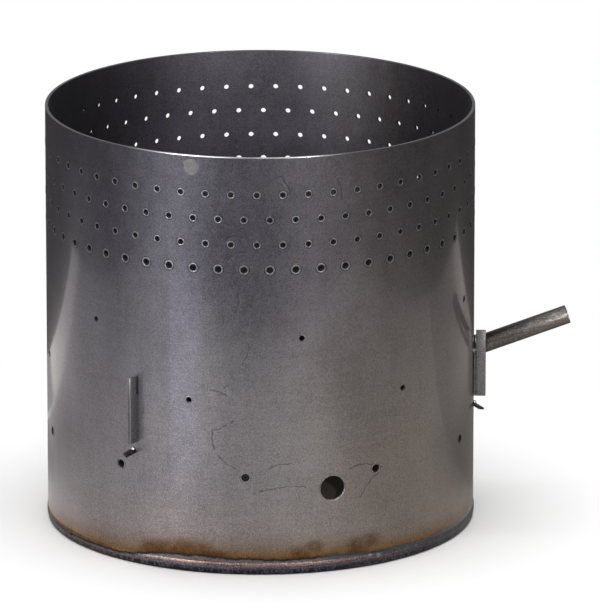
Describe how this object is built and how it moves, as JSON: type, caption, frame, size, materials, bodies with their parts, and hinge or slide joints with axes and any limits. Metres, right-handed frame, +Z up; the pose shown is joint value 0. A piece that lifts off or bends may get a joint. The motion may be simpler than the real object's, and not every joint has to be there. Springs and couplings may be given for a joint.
{
  "type": "vaporising oil burner pot",
  "caption": "Round perforated steel burner pot with a sloping oil inlet tube, slotted side brackets with stop tabs, and a loose spreader dish on its floor.",
  "frame": {"origin": "centre of the floor's underside", "axes": "+Z up along the pot's axis, +X towards the oil inlet tube, -Y towards the front with the lighting hole"},
  "size_m": [0.265, 0.2166, 0.2143],
  "materials": {
    "mill_steel": "dark satin mill finish, rolled and perforated sheet",
    "floor_steel": "dark satin sheet with heat marks",
    "weld_metal": "rippled weld bead with blue and straw heat colours",
    "bracket_steel": "dark sheared sheet, semi-matt",
    "tube_steel": "drawn tube with brown heat colour",
    "dish_steel": "pressed sheet, brownish from heat"
  },
  "bodies": {
    "pot": {"pot_shell": "mill_steel", "pot_floor": "floor_steel", "floor_weld": "weld_metal", "seam_weld": "weld_metal", "bracket_1": "bracket_steel", "bracket_weld_1": "weld_metal", "stop_tab_1": "bracket_steel", "tab_weld_1": "weld_metal", "bracket_2": "bracket_steel", "bracket_weld_2": "weld_metal", "stop_tab_2": "bracket_steel", "tab_weld_2": "weld_metal", "bracket_3": "bracket_steel", "bracket_weld_3": "weld_metal", "stop_tab_3": "bracket_steel", "tab_weld_3": "weld_metal", "inlet_tube": "tube_steel", "inlet_weld": "weld_metal"},
    "spreader": {"spreader": "dish_steel"}
  },
  "joints": [
    {"name": "spreader_lift", "type": "slide", "parent": "pot", "child": "spreader", "axis": [0, 0, 1], "range_m": [0, 0.225]}
  ]
}
